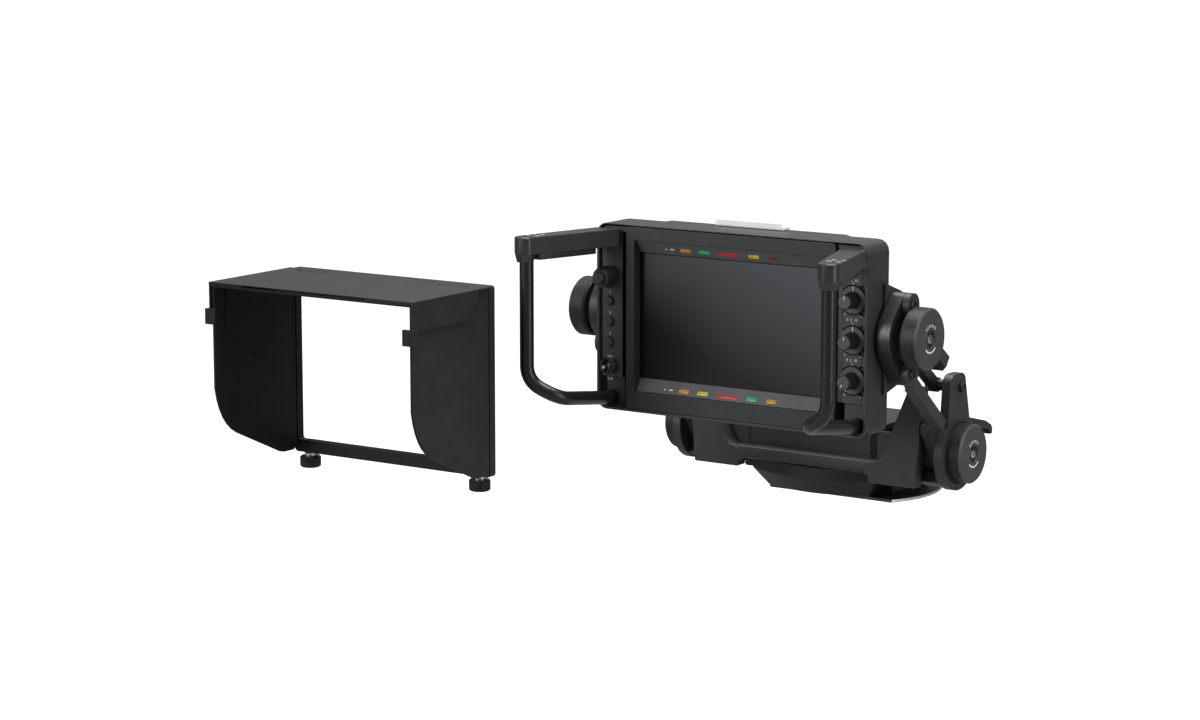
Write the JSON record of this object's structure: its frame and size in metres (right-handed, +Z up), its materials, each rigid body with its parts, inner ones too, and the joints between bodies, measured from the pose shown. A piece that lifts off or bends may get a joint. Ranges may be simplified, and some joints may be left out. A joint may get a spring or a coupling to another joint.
{
  "type": "electronic viewfinder",
  "caption": "Studio electronic viewfinder: flat display with grab handles on a parallel-arm tilt and lift base, with its folding light hood taken off and standing beside it.",
  "frame": {"origin": "middle of the mounting plate's underside", "axes": "+Z up, the display faces -Y, +X to the right of someone who looks at the screen"},
  "size_m": [0.5094, 0.4695, 0.2355],
  "materials": {
    "bare_steel": "bare, lightly brushed",
    "dark_steel": "blackened",
    "plated_frame": "plain sheet",
    "painted_casting": "near-black textured paint",
    "textured_black": "near-black fine texture",
    "matt_moulding": "matt black",
    "knob_black": "matt black",
    "screen_gloss": "dark gloss",
    "white_lens": "translucent white",
    "hood_black": "matt black sheet",
    "board_green": "solder mask"
  },
  "bodies": {
    "base": {"mounting_plate": "bare_steel", "front_housing": "matt_moulding", "base_casting": "painted_casting", "rear_deck": "painted_casting", "upright_left": "painted_casting", "upright_right": "painted_casting", "link_pivot_left": "dark_steel", "link_pivot_right": "dark_steel", "lift_shaft": "bare_steel"},
    "arms": {"arm_left": "painted_casting", "arm_right": "painted_casting", "cross_tube": "dark_steel"},
    "links": {"link_left": "painted_casting", "link_right": "painted_casting"},
    "carriers": {"carrier_left": "painted_casting", "carrier_right": "painted_casting"},
    "head": {"case_front": "painted_casting", "case_rear": "painted_casting", "rear_socket": "dark_steel", "bezel": "textured_black", "screen_window": "screen_gloss", "display_panel": "plated_frame", "inner_frame": "plated_frame", "circuit_board": "board_green", "tally_strip_upper": "textured_black", "tally_strip_lower": "textured_black", "control_strip_left": "textured_black", "control_strip_right": "textured_black", "control_board_left": "board_green", "control_board_right": "board_green", "toggle_collar": "bare_steel", "tally_lens": "white_lens", "trunnion_left": "painted_casting", "trunnion_right": "painted_casting", "handle_tube_left": "textured_black", "handle_tube_right": "textured_black", "handle_block_left": "textured_black", "handle_block_right": "textured_black"},
    "lower_knob_left_body": {"lower_knob_left": "knob_black"},
    "lower_knob_right_body": {"lower_knob_right": "knob_black"},
    "upper_knob_left_body": {"upper_knob_left": "knob_black"},
    "upper_knob_right_body": {"upper_knob_right": "knob_black"},
    "control_knob_1_body": {"control_knob_1": "knob_black"},
    "control_knob_2_body": {"control_knob_2": "knob_black"},
    "control_knob_3_body": {"control_knob_3": "knob_black"},
    "menu_dial_body": {"menu_dial": "knob_black"},
    "menu_cap_body": {"menu_cap": "knob_black"},
    "push_button_1_body": {"push_button_1": "knob_black"},
    "push_button_2_body": {"push_button_2": "knob_black"},
    "push_button_3_body": {"push_button_3": "knob_black"},
    "power_toggle_body": {"power_toggle": "bare_steel"},
    "hood": {"hood_frame": "hood_black", "hood_top": "hood_black"},
    "hood_wall_left_body": {"hood_wall_left": "hood_black"},
    "hood_wall_right_body": {"hood_wall_right": "hood_black"},
    "thumb_screw_left_body": {"thumb_screw_left": "knob_black"},
    "thumb_screw_right_body": {"thumb_screw_right": "knob_black"}
  },
  "joints": [
    {"name": "lift", "type": "hinge", "parent": "base", "child": "arms", "pos_m": [0, -0.039, 0.047], "axis": [-1, 0, 0], "range_deg": [-15, 12]},
    {"name": "link_turn", "type": "hinge", "parent": "base", "child": "links", "pos_m": [0, -0.039, 0.0995], "axis": [-1, 0, 0], "range_deg": [-15, 12]},
    {"name": "carrier_turn", "type": "hinge", "parent": "arms", "child": "carriers", "pos_m": [0, -0.15101, 0.12749], "axis": [-1, 0, 0], "range_deg": [-12, 15]},
    {"name": "tilt", "type": "hinge", "parent": "carriers", "child": "head", "pos_m": [0, -0.15221, 0.15569], "axis": [-1, 0, 0], "range_deg": [-25, 25]},
    {"name": "lower_knob_left_turn", "type": "hinge", "parent": "base", "child": "lower_knob_left_body", "pos_m": [0, -0.039, 0.047], "axis": [-1, 0, 0], "range_deg": [0, 180]},
    {"name": "upper_knob_left_turn", "type": "hinge", "parent": "head", "child": "upper_knob_left_body", "pos_m": [0, -0.15221, 0.15569], "axis": [-1, 0, 0], "range_deg": [0, 180]},
    {"name": "lower_knob_right_turn", "type": "hinge", "parent": "base", "child": "lower_knob_right_body", "pos_m": [0, -0.039, 0.047], "axis": [1, 0, 0], "range_deg": [0, 180]},
    {"name": "upper_knob_right_turn", "type": "hinge", "parent": "head", "child": "upper_knob_right_body", "pos_m": [0, -0.15221, 0.15569], "axis": [1, 0, 0], "range_deg": [0, 180]},
    {"name": "control_knob_1_turn", "type": "hinge", "parent": "head", "child": "control_knob_1_body", "pos_m": [0.1078, -0.187, 0.1855], "axis": [0, -1, 0], "range_deg": [-150, 150]},
    {"name": "control_knob_2_turn", "type": "hinge", "parent": "head", "child": "control_knob_2_body", "pos_m": [0.1078, -0.187, 0.1548], "axis": [0, -1, 0], "range_deg": [-150, 150]},
    {"name": "control_knob_3_turn", "type": "hinge", "parent": "head", "child": "control_knob_3_body", "pos_m": [0.1078, -0.187, 0.1241], "axis": [0, -1, 0], "range_deg": [-150, 150]},
    {"name": "menu_dial_turn", "type": "hinge", "parent": "head", "child": "menu_dial_body", "pos_m": [-0.1108, -0.187, 0.1865], "axis": [0, -1, 0], "continuous": true},
    {"name": "menu_cap_press", "type": "slide", "parent": "head", "child": "menu_cap_body", "axis": [0, 1, 0], "range_m": [0, 0.001], "stiffness_N_per_m": 600, "springref_m": -0.001},
    {"name": "push_button_1_press", "type": "slide", "parent": "head", "child": "push_button_1_body", "axis": [0, 1, 0], "range_m": [0, 0.0012], "stiffness_N_per_m": 600, "springref_m": -0.001},
    {"name": "push_button_2_press", "type": "slide", "parent": "head", "child": "push_button_2_body", "axis": [0, 1, 0], "range_m": [0, 0.0012], "stiffness_N_per_m": 600, "springref_m": -0.001},
    {"name": "push_button_3_press", "type": "slide", "parent": "head", "child": "push_button_3_body", "axis": [0, 1, 0], "range_m": [0, 0.0012], "stiffness_N_per_m": 600, "springref_m": -0.001},
    {"name": "power_toggle_rock", "type": "hinge", "parent": "head", "child": "power_toggle_body", "pos_m": [-0.1108, -0.1856, 0.115], "axis": [-1, 0, 0], "range_deg": [-15, 15]},
    {"name": "hood_carry", "type": "slide", "parent": "base", "child": "hood", "axis": [-1, 0, 0], "range_m": [0, 0.12]},
    {"name": "hood_wall_right_fold", "type": "hinge", "parent": "hood", "child": "hood_wall_right_body", "pos_m": [-0.1552, -0.2885, 0.1], "axis": [0, 0, -1], "range_deg": [0, 90]},
    {"name": "hood_wall_left_fold", "type": "hinge", "parent": "hood", "child": "hood_wall_left_body", "pos_m": [-0.3472, -0.2913, 0.1], "axis": [0, 0, 1], "range_deg": [0, 90]},
    {"name": "thumb_screw_left_turn", "type": "hinge", "parent": "hood", "child": "thumb_screw_left_body", "pos_m": [-0.3356, -0.2833, 0.03], "axis": [0, 0, 1], "range_deg": [-180, 180]},
    {"name": "thumb_screw_right_turn", "type": "hinge", "parent": "hood", "child": "thumb_screw_right_body", "pos_m": [-0.1668, -0.2833, 0.03], "axis": [0, 0, 1], "range_deg": [-180, 180]}
  ],
  "couplings": [
    {"joint": "link_turn", "follows": "lift", "ratio": 1},
    {"joint": "carrier_turn", "follows": "lift", "ratio": -1}
  ]
}
